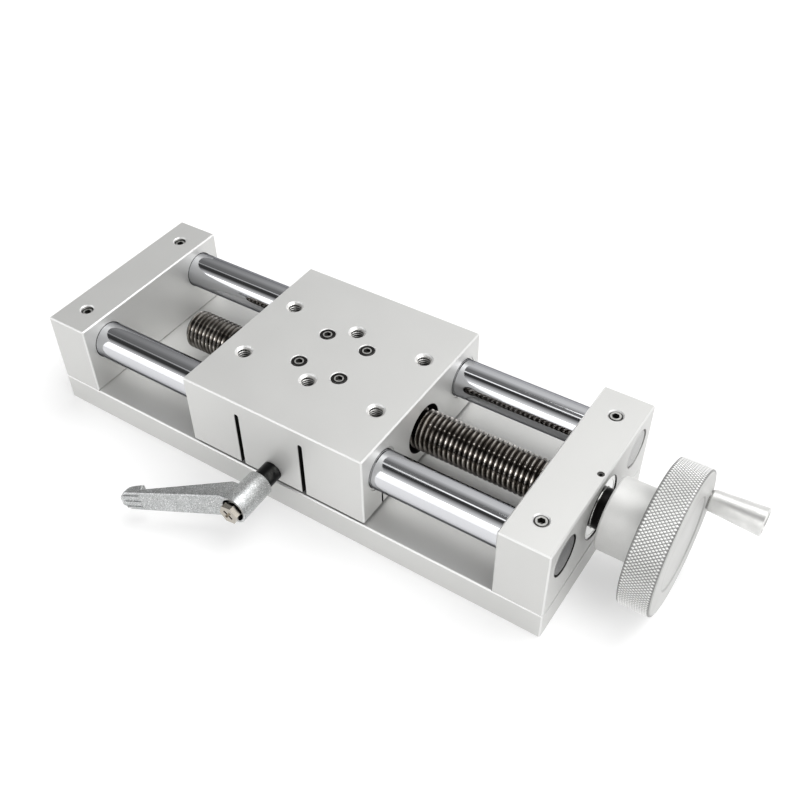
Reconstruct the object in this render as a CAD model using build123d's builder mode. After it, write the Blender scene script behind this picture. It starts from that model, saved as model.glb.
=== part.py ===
from build123d import *
import os
from math import cos, pi, radians, sin, tan

os.makedirs("parts", exist_ok=True)

# Manual slide table: a carriage on two guide rods, driven by a lead screw and a handwheel.
# Millimetres. X runs along the travel towards the handwheel, Y towards the back, Z up.
# The origin is the centre of the base plate's underside.

# Base plate and end blocks
base_length = 222.0
table_width = 80.0
base_thickness = 12.0
block_thickness = 19.0
block_height = 31.0
edge_break = 0.5

# Clearances between pieces
seat_gap = 0.02
thread_gap = 0.05
running_gap = 0.1
washer_gap = 0.1

# Guide rods
rod_diameter = 15.0
rod_inset = 12.0
rod_rise = 19.5
rod_end_recess = 0.3
rod_chamfer = 0.6

# Carriage
carriage_length = 80.0
carriage_height = 31.5
carriage_lift = 1.3
carriage_position = 0.7
screw_tunnel_diameter = 20.0

# Plain bushings in the carriage
bushing_wall = 1.0
bushing_length = 20.0
bushing_recess = 0.3
bushing_clearance = 0.03

# Lead screw
screw_diameter = 16.0
screw_pitch = 2.0
thread_depth = 1.15
thread_crest = 0.45
screw_rise = 15.5
screw_free_gap = 22.2
screw_end_chamfer = 1.2
journal_diameter = 12.0
shoulder_diameter = 13.2
shoulder_length = 2.1

# Lead nut
nut_length = 30.0
nut_width = 24.0
nut_height = 22.0
nut_pocket_gap = 0.5
nut_clearance = 0.06
nut_screw_spacing = 18.2
nut_thread_depth = 5.6

# Ball bearings in the right block, side by side
bearing_count = 2
bearing_outer_diameter = 24.0
bearing_width = 6.0
bearing_recess = 0.3
bearing_back_wall_hole = 18.0
outer_ring_wall = 1.65
inner_ring_wall = 1.65
ball_diameter = 3.175
ball_count = 11
ball_clearance = 0.08
cage_wall = 1.0
cage_width = 4.2
shield_thickness = 0.4
shield_inset = 0.15
shield_lip_gap = 0.15

# Spacer and handwheel
spacer_length = 3.8
spacer_diameter = 15.0
hub_length = 14.0
hub_diameter = 27.0
hub_edge_radius = 1.0
wheel_width = 11.5
wheel_diameter = 53.0
wheel_edge_chamfer = 0.8
knurl_height = 0.35
dish_diameter = 34.0
dish_depth = 0.5
wheel_bore_depth = 20.0
wheel_grub_diameter = 4.0
wheel_grub_length = 6.0

# Crank handle on the wheel's face
crank_radius = 22.2
crank_angle = 2.5
grip_gap = 0.5
grip_length = 18.5
grip_base_diameter = 7.9
grip_end_diameter = 10.2
grip_edge = 0.4
axle_diameter = 5.5
axle_thread_diameter = 5.0
axle_thread_length = 8.0
axle_flange_diameter = 6.8
axle_head_diameter = 7.6
axle_head_height = 1.8
axle_head_recess = 0.4
axle_socket = 3.0

# Clamp on the front rod: a tongue cut free in the carriage, and its stud
clamp_offset = -0.8
clamp_rise = 4.5
tongue_width = 28.8
tongue_slot_width = 2.0
tongue_slot_top = 7.4
slit_width = 1.0
stud_diameter = 8.0
stud_length = 7.3
stud_thread_diameter = 5.0
stud_thread_length = 23.0
stud_clearance_hole = 5.5
spline_teeth = 16
spline_depth = 0.6
spline_clearance = 0.15
spline_release = 0.5

# Clamp lever
lever_angle = 10.5
lever_hub_length = 15.7
lever_hub_back_diameter = 10.4
lever_hub_front_diameter = 11.2
lever_web = 2.0
lever_recess_diameter = 9.4
lever_reach = 43.8
lever_slope = 20.5
lever_root_width = 10.4
lever_tip_width = 8.8
lever_tip_radius = 3.0
lever_root_thickness = 8.6
lever_neck_thickness = 2.55
pad_length = 7.4
pad_thickness = 2.2
pad_step = 1.0
tip_thickness = 4.0
tip_bevel = 4.2
tip_lean = 1.0
grip_ridge_length = 6.6
grip_ridge_width = 1.1
grip_ridge_height = 0.45
grip_ridge_root = 0.3
grip_ridge_spacing = 2.7
grip_ridge_taper = 30.0
lever_edge_radius = 0.8
lever_lift = 3.5

# Lever screw and its spring
lever_screw_shoulder = 5.0
lever_screw_thread = 4.0
lever_screw_thread_length = 7.5
lever_screw_hex = 7.0
lever_screw_head = 2.8
cross_length = 4.3
cross_width = 1.0
cross_depth = 1.3
cross_turn = 45.0
spring_wire = 0.6
spring_radius = 3.15
spring_turns = 6

# Screws. Threads and tapped holes are plain, at the thread's nominal diameter.
countersink_angle = 90.0
screw_chamfer_share = 0.06
cap_socket_share = 0.42
grub_socket_share = 0.25
table_thread_diameter = 6.0
table_thread_depth = 10.0
table_countersink_diameter = 7.1
table_hole_pitch = 30.0
table_hole_spacing = 32.0
base_thread_depth = 9.0
base_hole_pitch = 150.0
base_hole_spacing = 50.0
block_screw_diameter = 6.0
block_screw_length = 16.0
block_screw_head = 10.0
block_screw_clearance = 6.6
block_counterbore_diameter = 11.0
block_counterbore_depth = 6.5
tapped_hole_margin = 1.0
nut_screw_diameter = 3.0
nut_screw_length = 8.0
nut_screw_head = 5.5
nut_screw_clearance = 3.4
nut_counterbore_diameter = 6.0
nut_counterbore_depth = 3.2
nut_counterbore_chamfer = 0.4
rod_grub_diameter = 5.0
rod_grub_length = 4.0
rod_grub_chamfer = 0.5
left_seat_depth = 1.3
right_seat_depth = 0.3
lock_grub_diameter = 2.5
lock_grub_inset = 2.2
lock_grub_recess = 0.4

# Heights and places worked out from the sizes above
rod_z = base_thickness + rod_rise
screw_z = base_thickness + screw_rise
block_top = base_thickness + block_height
carriage_bottom = base_thickness + carriage_lift
carriage_top = carriage_bottom + carriage_height
rod_y = table_width / 2 - rod_inset
rod_spacing = 2 * rod_y
rod_radius = rod_diameter / 2
rod_top = rod_z + rod_radius
front_face = -table_width / 2
block_x = base_length / 2 - block_thickness / 2
block_inner = base_length / 2 - block_thickness
block_outer = base_length / 2
screw_radius = screw_diameter / 2
journal_radius = journal_diameter / 2
bearing_radius = bearing_outer_diameter / 2
bearing_face = block_outer - bearing_recess
bearing_back = bearing_face - bearing_count * bearing_width
bearing_middles = [bearing_face - (i + 0.5) * bearing_width for i in range(bearing_count)]
hub_start = bearing_face + spacer_length
wheel_start = hub_start + hub_length
wheel_face = wheel_start + wheel_width
crank_y = crank_radius * cos(radians(crank_angle))
crank_z = screw_z + crank_radius * sin(radians(crank_angle))
clamp_x = carriage_position + clamp_offset
clamp_z = carriage_bottom + clamp_rise
spline_length = lever_lift - spline_release
nut_top = screw_z + nut_height / 2
arm_direction = (-cos(radians(lever_angle)), 0, -sin(radians(lever_angle)))

# Working planes and axes
underside = Plane(origin=(0, 0, 0), x_dir=(1, 0, 0), z_dir=(0, 0, -1))
carriage_top_plane = Plane(origin=(carriage_position, 0, carriage_top))
screw_plane = Plane(origin=(0, 0, screw_z), x_dir=(1, 0, 0), z_dir=(0, -1, 0))
screw_axis = Axis((0, 0, screw_z), (1, 0, 0))
crank_plane = Plane(origin=(0, crank_y, crank_z), x_dir=(1, 0, 0), z_dir=(0, -1, 0))
crank_axis = Axis((0, crank_y, crank_z), (1, 0, 0))
clamp_plane = Plane(origin=(clamp_x, front_face, clamp_z), x_dir=arm_direction, z_dir=(0, -1, 0))


def save(piece, name):
    """Label a finished piece and write it as its own file."""
    piece.part.label = name
    export_step(piece.part, "parts/" + name + ".step")


def cap_screw(diameter, length, head_diameter):
    """Socket head cap screw: head underside at z = 0, shank down, head up."""
    with BuildPart() as screw:
        with BuildSketch(Plane.XY):
            Circle(head_diameter / 2)
        extrude(amount=diameter)
        chamfer(screw.faces().sort_by(Axis.Z)[-1].edges(), screw_chamfer_share * diameter)
        with BuildSketch(Plane.XY):
            Circle(diameter / 2 - thread_gap)
        extrude(amount=-length)
        with BuildSketch(Plane.XY.offset(diameter)):
            RegularPolygon(radius=cap_socket_share * diameter, side_count=6, major_radius=False)
        extrude(amount=-diameter / 2, mode=Mode.SUBTRACT)
    return screw.part


def grub_screw(diameter, length):
    """Socket set screw: flat point at z = 0, hexagon socket at the top."""
    with BuildPart() as screw:
        with BuildSketch(Plane.XY):
            Circle(diameter / 2 - thread_gap)
        extrude(amount=length)
        chamfer(screw.edges(), screw_chamfer_share * diameter)
        with BuildSketch(Plane.XY.offset(length)):
            RegularPolygon(radius=grub_socket_share * diameter, side_count=6, major_radius=False)
        extrude(amount=-length / 2, mode=Mode.SUBTRACT)
    return screw.part


def tapped_hole(diameter, mouth, depth):
    """Blind tapped hole with a countersunk mouth, at each current location."""
    CounterSinkHole(
        radius=diameter / 2,
        counter_sink_radius=mouth / 2,
        depth=depth,
        counter_sink_angle=countersink_angle,
    )


# Base plate: bare flat top, with counterbored holes for the block screws and tapped
# holes for a machine bed in its underside.
with BuildPart() as base_plate:
    with BuildSketch(Plane.XY):
        Rectangle(base_length, table_width)
    extrude(amount=base_thickness)
    chamfer(base_plate.edges(), edge_break)
    with Locations(underside):
        with GridLocations(2 * block_x, rod_spacing, 2, 2):
            CounterBoreHole(
                radius=block_screw_clearance / 2,
                counter_bore_radius=block_counterbore_diameter / 2,
                counter_bore_depth=block_counterbore_depth,
            )
        with GridLocations(base_hole_pitch, base_hole_spacing, 2, 2):
            tapped_hole(table_thread_diameter, table_countersink_diameter, base_thread_depth)
save(base_plate, "base_plate")

block_screw_reach = block_screw_length - (base_thickness - block_counterbore_depth)


def end_block(x):
    """One end block before its own features: a plate with both rod bores."""
    with BuildPart() as block:
        with BuildSketch(Plane(origin=(x, 0, base_thickness))):
            Rectangle(block_thickness, table_width)
        extrude(amount=block_height)
        chamfer(block.edges(), edge_break)
        with BuildSketch(Plane.YZ.offset(x - block_thickness / 2)):
            with Locations((-rod_y, rod_z), (rod_y, rod_z)):
                Circle(rod_radius + seat_gap)
        extrude(amount=block_thickness, mode=Mode.SUBTRACT)
        with Locations(Plane(origin=(x, 0, block_top))):
            with GridLocations(0, rod_spacing, 1, 2):
                tapped_hole(
                    rod_grub_diameter,
                    rod_grub_diameter + 2 * rod_grub_chamfer,
                    block_top - rod_z,
                )
        with Locations(Plane(origin=(x, 0, base_thickness), x_dir=(1, 0, 0), z_dir=(0, 0, -1))):
            with GridLocations(0, rod_spacing, 1, 2):
                Hole(block_screw_diameter / 2, depth=block_screw_reach + tapped_hole_margin)
    return block.part


with BuildPart() as left_end_block:
    add(end_block(-block_x))
save(left_end_block, "left_end_block")

# The right block also carries the screw's bearings, held by a small set screw from above.
with BuildPart() as right_end_block:
    add(end_block(block_x))
    with BuildSketch(Plane(origin=(block_inner, 0, screw_z), x_dir=(0, 1, 0), z_dir=(1, 0, 0))):
        Circle(bearing_back_wall_hole / 2)
    extrude(amount=block_thickness, mode=Mode.SUBTRACT)
    with BuildSketch(Plane(origin=(bearing_back, 0, screw_z), x_dir=(0, 1, 0), z_dir=(1, 0, 0))):
        Circle(bearing_radius + seat_gap)
    extrude(amount=block_outer - bearing_back, mode=Mode.SUBTRACT)
    with Locations((block_outer - lock_grub_inset, 0, block_top)):
        Hole(lock_grub_diameter / 2, depth=block_top - screw_z)
save(right_end_block, "right_end_block")


def guide_rod(y):
    """Ground rod with a flat spot under each set screw."""
    half = base_length / 2 - rod_end_recess
    with BuildPart() as rod:
        with BuildSketch(Plane(origin=(-half, y, rod_z), x_dir=(0, 1, 0), z_dir=(1, 0, 0))):
            Circle(rod_radius)
        extrude(amount=2 * half)
        chamfer(rod.edges().filter_by(GeomType.CIRCLE), rod_chamfer)
        for x, seat in ((-block_x, left_seat_depth), (block_x, right_seat_depth)):
            with BuildSketch(Plane(origin=(x, y, rod_top - seat))):
                Circle(rod_grub_diameter / 2)
            extrude(amount=rod_diameter, mode=Mode.SUBTRACT)
    return rod.part


with BuildPart() as front_guide_rod:
    add(guide_rod(-rod_y))
save(front_guide_rod, "front_guide_rod")

with BuildPart() as back_guide_rod:
    add(guide_rod(rod_y))
save(back_guide_rod, "back_guide_rod")

# Four cap screws from below, two under each end block, hold the blocks to the base plate.
head_seat = Plane(origin=(0, 0, block_counterbore_depth), x_dir=(1, 0, 0), z_dir=(0, 0, -1))
with BuildPart() as block_screws:
    with Locations(head_seat):
        with GridLocations(2 * block_x, rod_spacing, 2, 2):
            add(cap_screw(block_screw_diameter, block_screw_length, block_screw_head))
save(block_screws, "block_screws")

# Set screws that hold the rods in the blocks. The left pair sits in deeper spots.
with BuildPart() as left_rod_grub_screws:
    with Locations(Plane(origin=(-block_x, 0, rod_top - left_seat_depth))):
        with GridLocations(0, rod_spacing, 1, 2):
            add(grub_screw(rod_grub_diameter, rod_grub_length))
save(left_rod_grub_screws, "left_rod_grub_screws")

with BuildPart() as right_rod_grub_screws:
    with Locations(Plane(origin=(block_x, 0, rod_top - right_seat_depth))):
        with GridLocations(0, rod_spacing, 1, 2):
            add(grub_screw(rod_grub_diameter, rod_grub_length))
save(right_rod_grub_screws, "right_rod_grub_screws")

bearing_top = screw_z + bearing_radius
with BuildPart() as bearing_lock_screw:
    with Locations(Plane(origin=(block_outer - lock_grub_inset, 0, bearing_top))):
        add(grub_screw(lock_grub_diameter, block_top - bearing_top - lock_grub_recess))
save(bearing_lock_screw, "bearing_lock_screw")

# Deep groove ball bearings: rings with a ball groove, balls, cage and two shields each.
ball_radius = ball_diameter / 2
outer_ring_inside = bearing_radius - outer_ring_wall
inner_ring_outside = journal_radius + inner_ring_wall
ball_pitch_radius = (outer_ring_inside + inner_ring_outside) / 2
groove_radius = ball_radius + ball_clearance


def bearing_ring(inside, outside):
    """Both bearings' rings of one size, with the ball groove cut in."""
    with BuildPart() as rings:
        for middle in bearing_middles:
            with BuildSketch(screw_plane):
                with Locations((middle, (inside + outside) / 2)):
                    Rectangle(bearing_width - 2 * seat_gap, outside - inside)
                with Locations((middle, ball_pitch_radius)):
                    Circle(groove_radius, mode=Mode.SUBTRACT)
            revolve(axis=screw_axis)
    return rings.part


with BuildPart() as bearing_outer_rings:
    add(bearing_ring(outer_ring_inside, bearing_radius))
save(bearing_outer_rings, "bearing_outer_rings")

with BuildPart() as bearing_inner_rings:
    add(bearing_ring(journal_radius + seat_gap, inner_ring_outside))
save(bearing_inner_rings, "bearing_inner_rings")

shield_middle = bearing_width / 2 - shield_inset - shield_thickness / 2
shield_inside = inner_ring_outside + shield_lip_gap
shield_outside = outer_ring_inside - seat_gap
with BuildPart() as bearing_shields:
    with BuildSketch(screw_plane):
        for middle in bearing_middles:
            with Locations(
                (middle - shield_middle, (shield_inside + shield_outside) / 2),
                (middle + shield_middle, (shield_inside + shield_outside) / 2),
            ):
                Rectangle(shield_thickness, shield_outside - shield_inside)
    revolve(axis=screw_axis)
save(bearing_shields, "bearing_shields")

with BuildPart() as bearing_balls:
    for middle in bearing_middles:
        with Locations(Plane(origin=(middle, 0, screw_z), x_dir=(0, 1, 0), z_dir=(1, 0, 0))):
            with PolarLocations(ball_pitch_radius, ball_count):
                Sphere(ball_radius)
save(bearing_balls, "bearing_balls")

with BuildPart() as bearing_cages:
    with BuildSketch(screw_plane):
        for middle in bearing_middles:
            with Locations((middle, ball_pitch_radius)):
                Rectangle(cage_width, cage_wall)
    revolve(axis=screw_axis)
    for middle in bearing_middles:
        with Locations(Plane(origin=(middle, 0, screw_z), x_dir=(0, 1, 0), z_dir=(1, 0, 0))):
            with PolarLocations(ball_pitch_radius, ball_count):
                Cylinder(groove_radius, 3 * cage_wall, rotation=(0, 90, 0), mode=Mode.SUBTRACT)
save(bearing_cages, "bearing_cages")

# Lead screw: free at its left end, with a shoulder and a journal at its right end. The
# thread is drawn as rings at the screw's pitch.
screw_start = -block_inner + screw_free_gap
thread_end = bearing_back - shoulder_length
journal_end = hub_start + wheel_bore_depth - running_gap
thread_root_radius = screw_radius - thread_depth
groove_count = int((thread_end - screw_start - 2 * screw_end_chamfer) / screw_pitch)
first_groove = thread_end - groove_count * screw_pitch
profile = [(screw_start, 0), (screw_start, screw_radius - screw_end_chamfer)]
profile.append((screw_start + screw_end_chamfer, screw_radius))
for turn in range(groove_count):
    groove = first_groove + turn * screw_pitch
    profile.append((groove, screw_radius))
    profile.append((groove + (screw_pitch - thread_crest) / 2, thread_root_radius))
    profile.append((groove + screw_pitch - thread_crest, screw_radius))
profile.append((thread_end, screw_radius))
profile.append((thread_end, shoulder_diameter / 2))
profile.append((bearing_back, shoulder_diameter / 2))
profile.append((bearing_back, journal_radius))
profile.append((journal_end, journal_radius))
profile.append((journal_end, 0))
with BuildPart() as lead_screw:
    with BuildSketch(screw_plane):
        Polygon(*profile, align=None)
    revolve(axis=screw_axis)
save(lead_screw, "lead_screw")

# Plain collar on the journal between the inner rings and the handwheel's hub.
spacer_radius = spacer_diameter / 2
spacer_bore = journal_radius + seat_gap
with BuildPart() as spacer_collar:
    with BuildSketch(screw_plane):
        with Locations(((bearing_face + hub_start) / 2, (spacer_bore + spacer_radius) / 2)):
            Rectangle(spacer_length, spacer_radius - spacer_bore)
    revolve(axis=screw_axis)
save(spacer_collar, "spacer_collar")

# Handwheel: hub and rim in one turned piece, with a blind bore and a shallow dish. The
# rim is turned below the wheel's full diameter by the height of its knurl.
grub_x = hub_start + hub_length / 2
hub_radius = hub_diameter / 2
rim_radius = wheel_diameter / 2 - knurl_height
with BuildPart() as handwheel:
    with BuildSketch(screw_plane):
        Polygon(
            (hub_start, 0),
            (hub_start, hub_radius),
            (wheel_start, hub_radius),
            (wheel_start, rim_radius - wheel_edge_chamfer),
            (wheel_start + wheel_edge_chamfer, rim_radius),
            (wheel_face - wheel_edge_chamfer, rim_radius),
            (wheel_face, rim_radius - wheel_edge_chamfer),
            (wheel_face, dish_diameter / 2),
            (wheel_face - dish_depth, dish_diameter / 2 - dish_depth),
            (wheel_face - dish_depth, 0),
            align=None,
        )
    revolve(axis=screw_axis)
    hub_edge = handwheel.edges().filter_by(GeomType.CIRCLE).group_by(Axis.X)[0]
    fillet(hub_edge.sort_by(SortBy.RADIUS)[-1], hub_edge_radius)
    with BuildSketch(Plane(origin=(hub_start, 0, screw_z), x_dir=(0, 1, 0), z_dir=(1, 0, 0))):
        Circle(journal_radius + seat_gap)
    extrude(amount=wheel_bore_depth, mode=Mode.SUBTRACT)
    with Locations(
        Plane(origin=(grub_x, 0, screw_z - hub_radius), x_dir=(1, 0, 0), z_dir=(0, 0, -1)),
        Plane(origin=(grub_x, hub_radius, screw_z), x_dir=(1, 0, 0), z_dir=(0, 1, 0)),
    ):
        Hole(wheel_grub_diameter / 2, depth=hub_radius)
    with Locations(Plane(origin=(wheel_face, crank_y, crank_z), x_dir=(0, 1, 0), z_dir=(1, 0, 0))):
        Hole(axle_thread_diameter / 2, depth=axle_thread_length + tapped_hole_margin)
save(handwheel, "handwheel")

# Two set screws at a right angle lock the hub on the journal.
with BuildPart() as wheel_grub_screws:
    with Locations(
        Plane(origin=(grub_x, 0, screw_z - journal_radius), x_dir=(1, 0, 0), z_dir=(0, 0, -1)),
        Plane(origin=(grub_x, journal_radius, screw_z), x_dir=(1, 0, 0), z_dir=(0, 1, 0)),
    ):
        add(grub_screw(wheel_grub_diameter, wheel_grub_length))
save(wheel_grub_screws, "wheel_grub_screws")

# Crank handle: a turned grip that spins on a shoulder screw in the wheel's face.
grip_start = wheel_face + grip_gap
grip_end = grip_start + grip_length
head_end = grip_end - axle_head_recess
head_start = head_end - axle_head_height
axle_radius = axle_diameter / 2
with BuildPart() as crank_axle:
    with BuildSketch(crank_plane):
        Polygon(
            (wheel_face - axle_thread_length, 0),
            (wheel_face - axle_thread_length, axle_thread_diameter / 2 - thread_gap),
            (wheel_face, axle_thread_diameter / 2 - thread_gap),
            (wheel_face, axle_flange_diameter / 2),
            (grip_start - washer_gap, axle_flange_diameter / 2),
            (grip_start - washer_gap, axle_radius),
            (head_start, axle_radius),
            (head_start, axle_head_diameter / 2),
            (head_end, axle_head_diameter / 2),
            (head_end, 0),
            align=None,
        )
    revolve(axis=crank_axis)
    with BuildSketch(Plane(origin=(head_end, crank_y, crank_z), x_dir=(0, 1, 0), z_dir=(1, 0, 0))):
        RegularPolygon(radius=axle_socket / 2, side_count=6, major_radius=False)
    extrude(amount=-axle_head_height, mode=Mode.SUBTRACT)
save(crank_axle, "crank_axle")

grip_bore = axle_radius + running_gap
grip_counterbore = axle_head_diameter / 2 + running_gap
with BuildPart() as crank_grip:
    with BuildSketch(crank_plane):
        Polygon(
            (grip_start, grip_bore),
            (grip_start, grip_base_diameter / 2 - grip_edge),
            (grip_start + grip_edge, grip_base_diameter / 2),
            (grip_end - grip_edge, grip_end_diameter / 2),
            (grip_end, grip_end_diameter / 2 - grip_edge),
            (grip_end, grip_counterbore),
            (head_start - washer_gap, grip_counterbore),
            (head_start - washer_gap, grip_bore),
            align=None,
        )
    revolve(axis=crank_axis)
save(crank_grip, "crank_grip")

# Carriage: a block bored for the rods, with a pocket for the nut open below. The tongue
# between two slots and a long slit closes on the front rod when the stud is tightened.
bore_radius = rod_radius + running_gap
bushing_outside = rod_radius + bushing_wall
bushing_seat_depth = bushing_recess + bushing_length
tongue_top = tongue_slot_top - tongue_slot_width / 2
slot_x = (clamp_x - tongue_width / 2, clamp_x + tongue_width / 2)
slit_height = rod_z - carriage_bottom
left_end = carriage_position - carriage_length / 2
right_end = carriage_position + carriage_length / 2
nut_screw_seat = carriage_top - nut_counterbore_depth
with BuildPart() as carriage_block:
    with BuildSketch(Plane(origin=(carriage_position, 0, carriage_bottom))):
        Rectangle(carriage_length, table_width)
    extrude(amount=carriage_height)
    chamfer(carriage_block.edges(), edge_break)
    with BuildSketch(Plane.YZ.offset(left_end)):
        with Locations((-rod_y, rod_z), (rod_y, rod_z)):
            Circle(bore_radius)
        with Locations((0, screw_z)):
            Circle(screw_tunnel_diameter / 2)
        with Locations((-rod_y, carriage_bottom + slit_height / 2)):
            Rectangle(slit_width, slit_height)
    extrude(amount=carriage_length, mode=Mode.SUBTRACT)
    for start in (left_end, right_end - bushing_seat_depth):
        with BuildSketch(Plane.YZ.offset(start)):
            with Locations((-rod_y, rod_z), (rod_y, rod_z)):
                Circle(bushing_outside + seat_gap)
        extrude(amount=bushing_seat_depth, mode=Mode.SUBTRACT)
    with BuildSketch(Plane(origin=(carriage_position, 0, carriage_bottom))):
        Rectangle(nut_length + 2 * nut_pocket_gap, nut_width + 2 * nut_pocket_gap)
    extrude(amount=nut_top - carriage_bottom, mode=Mode.SUBTRACT)
    for x in slot_x:
        with BuildSketch(Plane(origin=(x, front_face, rod_z), x_dir=(1, 0, 0), z_dir=(0, -1, 0))):
            with Locations((0, (tongue_top - slit_height) / 2)):
                Rectangle(tongue_slot_width, tongue_top + slit_height)
            with Locations((0, tongue_top)):
                Circle(tongue_slot_width / 2)
        extrude(amount=front_face + rod_y, mode=Mode.SUBTRACT)
    with BuildSketch(clamp_plane):
        Circle(stud_clearance_hole / 2)
    extrude(amount=front_face + rod_y, mode=Mode.SUBTRACT)
    with BuildSketch(clamp_plane):
        Circle(stud_thread_diameter / 2)
    extrude(amount=-stud_thread_length - tapped_hole_margin, mode=Mode.SUBTRACT)
    with Locations(carriage_top_plane):
        with GridLocations(table_hole_pitch, table_hole_spacing, 3, 2):
            tapped_hole(table_thread_diameter, table_countersink_diameter, table_thread_depth)
        with GridLocations(nut_screw_spacing, nut_screw_spacing, 2, 2):
            CounterBoreHole(
                radius=nut_screw_clearance / 2,
                counter_bore_radius=nut_counterbore_diameter / 2,
                counter_bore_depth=nut_counterbore_depth,
                depth=carriage_top - nut_top + tapped_hole_margin,
            )
    with BuildSketch(carriage_top_plane):
        with GridLocations(nut_screw_spacing, nut_screw_spacing, 2, 2):
            Circle(nut_counterbore_diameter / 2 + nut_counterbore_chamfer)
    extrude(amount=-nut_counterbore_chamfer, taper=countersink_angle / 2, mode=Mode.SUBTRACT)
save(carriage_block, "carriage_block")


def rod_bushings(y):
    """Two plain bushings pressed in the carriage's ends around one rod."""
    wall = bushing_outside - rod_radius - bushing_clearance
    with BuildPart() as bushings:
        for start in (left_end + bushing_recess, right_end - bushing_seat_depth):
            with BuildSketch(Plane(origin=(start, y, rod_z), x_dir=(0, 1, 0), z_dir=(1, 0, 0))):
                Circle(bushing_outside)
                Circle(bushing_outside - wall, mode=Mode.SUBTRACT)
            extrude(amount=bushing_length)
    return bushings.part


with BuildPart() as front_rod_bushings:
    add(rod_bushings(-rod_y))
save(front_rod_bushings, "front_rod_bushings")

with BuildPart() as back_rod_bushings:
    add(rod_bushings(rod_y))
save(back_rod_bushings, "back_rod_bushings")

# Bronze lead nut, hung in the pocket by four small cap screws from the table's top.
nut_left = carriage_position - nut_length / 2
with BuildPart() as lead_nut:
    with BuildSketch(Plane(origin=(carriage_position, 0, nut_top - nut_height))):
        Rectangle(nut_length, nut_width)
    extrude(amount=nut_height)
    chamfer(lead_nut.edges(), edge_break)
    with BuildSketch(Plane(origin=(nut_left, 0, screw_z), x_dir=(0, 1, 0), z_dir=(1, 0, 0))):
        Circle(screw_radius + nut_clearance)
    extrude(amount=nut_length, mode=Mode.SUBTRACT)
    with Locations(Plane(origin=(carriage_position, 0, nut_top))):
        with GridLocations(nut_screw_spacing, nut_screw_spacing, 2, 2):
            Hole(nut_screw_diameter / 2, depth=nut_thread_depth)
save(lead_nut, "lead_nut")

with BuildPart() as nut_screws:
    with Locations(Plane(origin=(carriage_position, 0, nut_screw_seat))):
        with GridLocations(nut_screw_spacing, nut_screw_spacing, 2, 2):
            add(cap_screw(nut_screw_diameter, nut_screw_length, nut_screw_head))
save(nut_screws, "nut_screws")


def star(outside, depth):
    """Corner points of a toothed ring, alternately at the teeth's tips and roots."""
    points = []
    for corner in range(2 * spline_teeth):
        radius = outside if corner % 2 == 0 else outside - depth
        angle = corner * pi / spline_teeth
        points.append((radius * cos(angle), radius * sin(angle)))
    return points


# Clamp stud: thread in the carriage, plain collar, and a short spline for the lever.
stud_end = stud_length + spline_length
stud_radius = stud_diameter / 2
spline_radius = stud_radius - running_gap
with BuildPart() as clamp_stud:
    with BuildSketch(clamp_plane.offset(running_gap)):
        Circle(stud_radius)
    extrude(amount=stud_length - running_gap)
    with BuildSketch(clamp_plane.offset(stud_length)):
        Polygon(*star(spline_radius, spline_depth), align=None)
    extrude(amount=spline_length)
    with BuildSketch(clamp_plane.offset(running_gap)):
        Circle(stud_thread_diameter / 2 - thread_gap)
    extrude(amount=-stud_thread_length)
    with BuildSketch(clamp_plane.offset(stud_end)):
        Circle(lever_screw_thread / 2)
    extrude(amount=-lever_screw_thread_length - tapped_hole_margin, mode=Mode.SUBTRACT)
save(clamp_stud, "clamp_stud")

# Clamp lever: a die-cast hub and arm. The hub's spline engages the stud, and its front
# recess holds the spring and the screw's head.
hub_back = stud_length + running_gap
hub_front = hub_back + lever_hub_length
web_back = stud_end + running_gap + spline_clearance
web_front = web_back + lever_web
arm_tip = hub_front + (lever_reach - lever_hub_front_diameter / 2) * tan(radians(lever_slope))
arm_start = lever_hub_front_diameter / 2
pad_start = lever_reach - pad_length
pad_front = hub_front + (pad_start - arm_start) * tan(radians(lever_slope))
arm_back_root = hub_front - lever_root_thickness
arm_back_pad = pad_front - lever_neck_thickness
pad_back = arm_back_pad - pad_thickness
side_plane = Plane(origin=clamp_plane.origin, x_dir=clamp_plane.x_dir, z_dir=-clamp_plane.y_dir)
side_profile = [
    (0, arm_back_root),
    (0, hub_front),
    (arm_start, hub_front),
    (lever_reach, arm_tip),
    (lever_reach - tip_lean, arm_tip - tip_thickness),
    (lever_reach - tip_bevel, pad_back + (pad_length - tip_bevel) * tan(radians(lever_slope))),
    (pad_start + pad_step, pad_back),
    (pad_start, arm_back_pad),
    (arm_start, arm_back_root),
]
slope_cos = cos(radians(lever_slope))
slope_sin = sin(radians(lever_slope))
face_normal = clamp_plane.z_dir * slope_cos - clamp_plane.x_dir * slope_sin
face_direction = clamp_plane.x_dir * slope_cos + clamp_plane.z_dir * slope_sin
ridge_centre = clamp_plane.origin + clamp_plane.x_dir * lever_reach + clamp_plane.z_dir * arm_tip
ridge_centre = ridge_centre - face_direction * (grip_ridge_length / 2 + lever_tip_radius / 2)
ridge_spread = 2 * grip_ridge_root * tan(radians(grip_ridge_taper))
ridge_root_centre = ridge_centre - face_normal * grip_ridge_root


def on_arm_side(edge):
    """True for the arm's long outer edges, which lie off its middle plane and clear of the hub."""
    middle = clamp_plane.to_local_coords(edge @ 0.5)
    return middle.X > 0 and abs(middle.Y) > lever_tip_width / 4


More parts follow.
